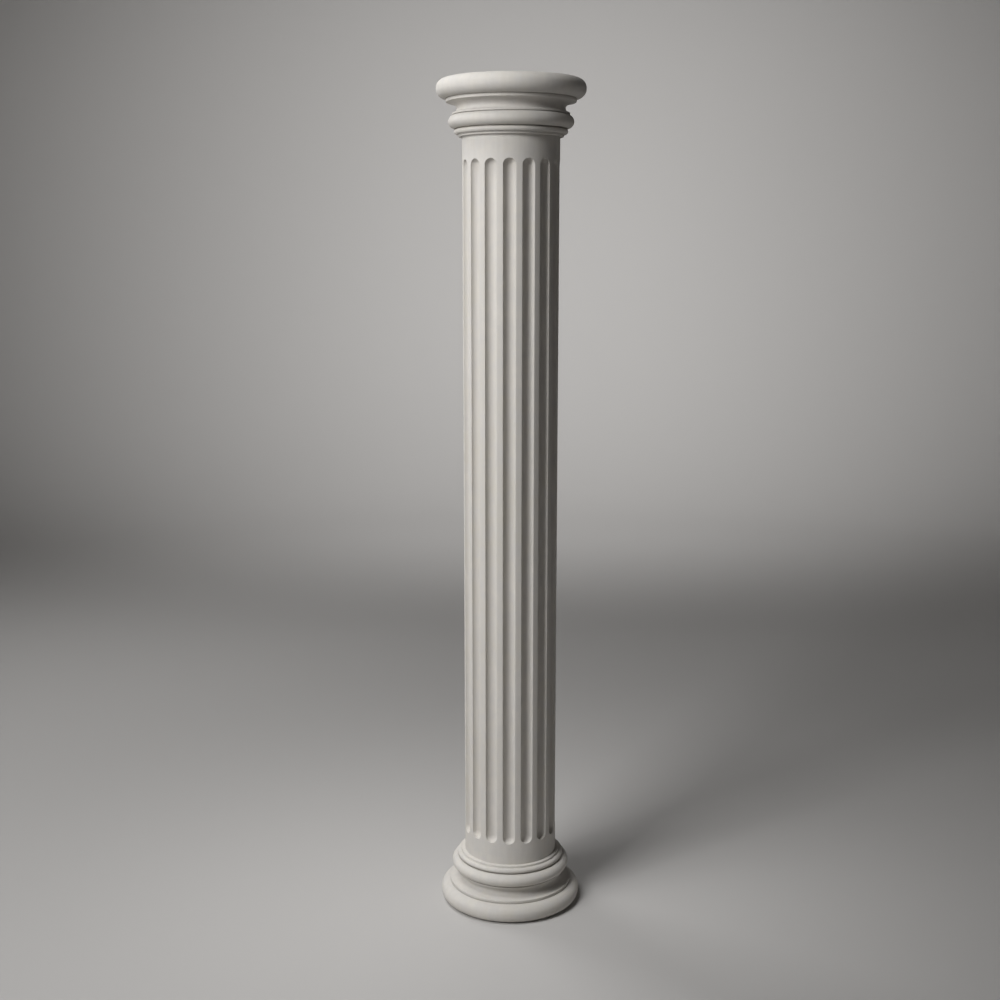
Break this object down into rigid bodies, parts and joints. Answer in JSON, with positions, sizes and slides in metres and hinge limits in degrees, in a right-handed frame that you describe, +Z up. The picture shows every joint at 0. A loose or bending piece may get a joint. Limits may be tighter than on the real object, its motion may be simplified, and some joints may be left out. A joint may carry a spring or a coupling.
{
  "type": "doric column",
  "caption": "Round free-standing column with a straight fluted shaft between a ring-moulded base and a matching ring-moulded capital.",
  "frame": {"origin": "centre of the underside, on the floor that the column stands on", "axes": "+Z up the axis of the column, -Y through the middle of a flute at the front, +X through the middle of a flute at the right"},
  "size_m": [0.458, 0.458, 2.646],
  "materials": {
    "cast_stone": "matte, fine-grained, off-white"
  },
  "bodies": {
    "root": {"base": "cast_stone", "shaft": "cast_stone", "capital": "cast_stone"}
  },
  "joints": []
}
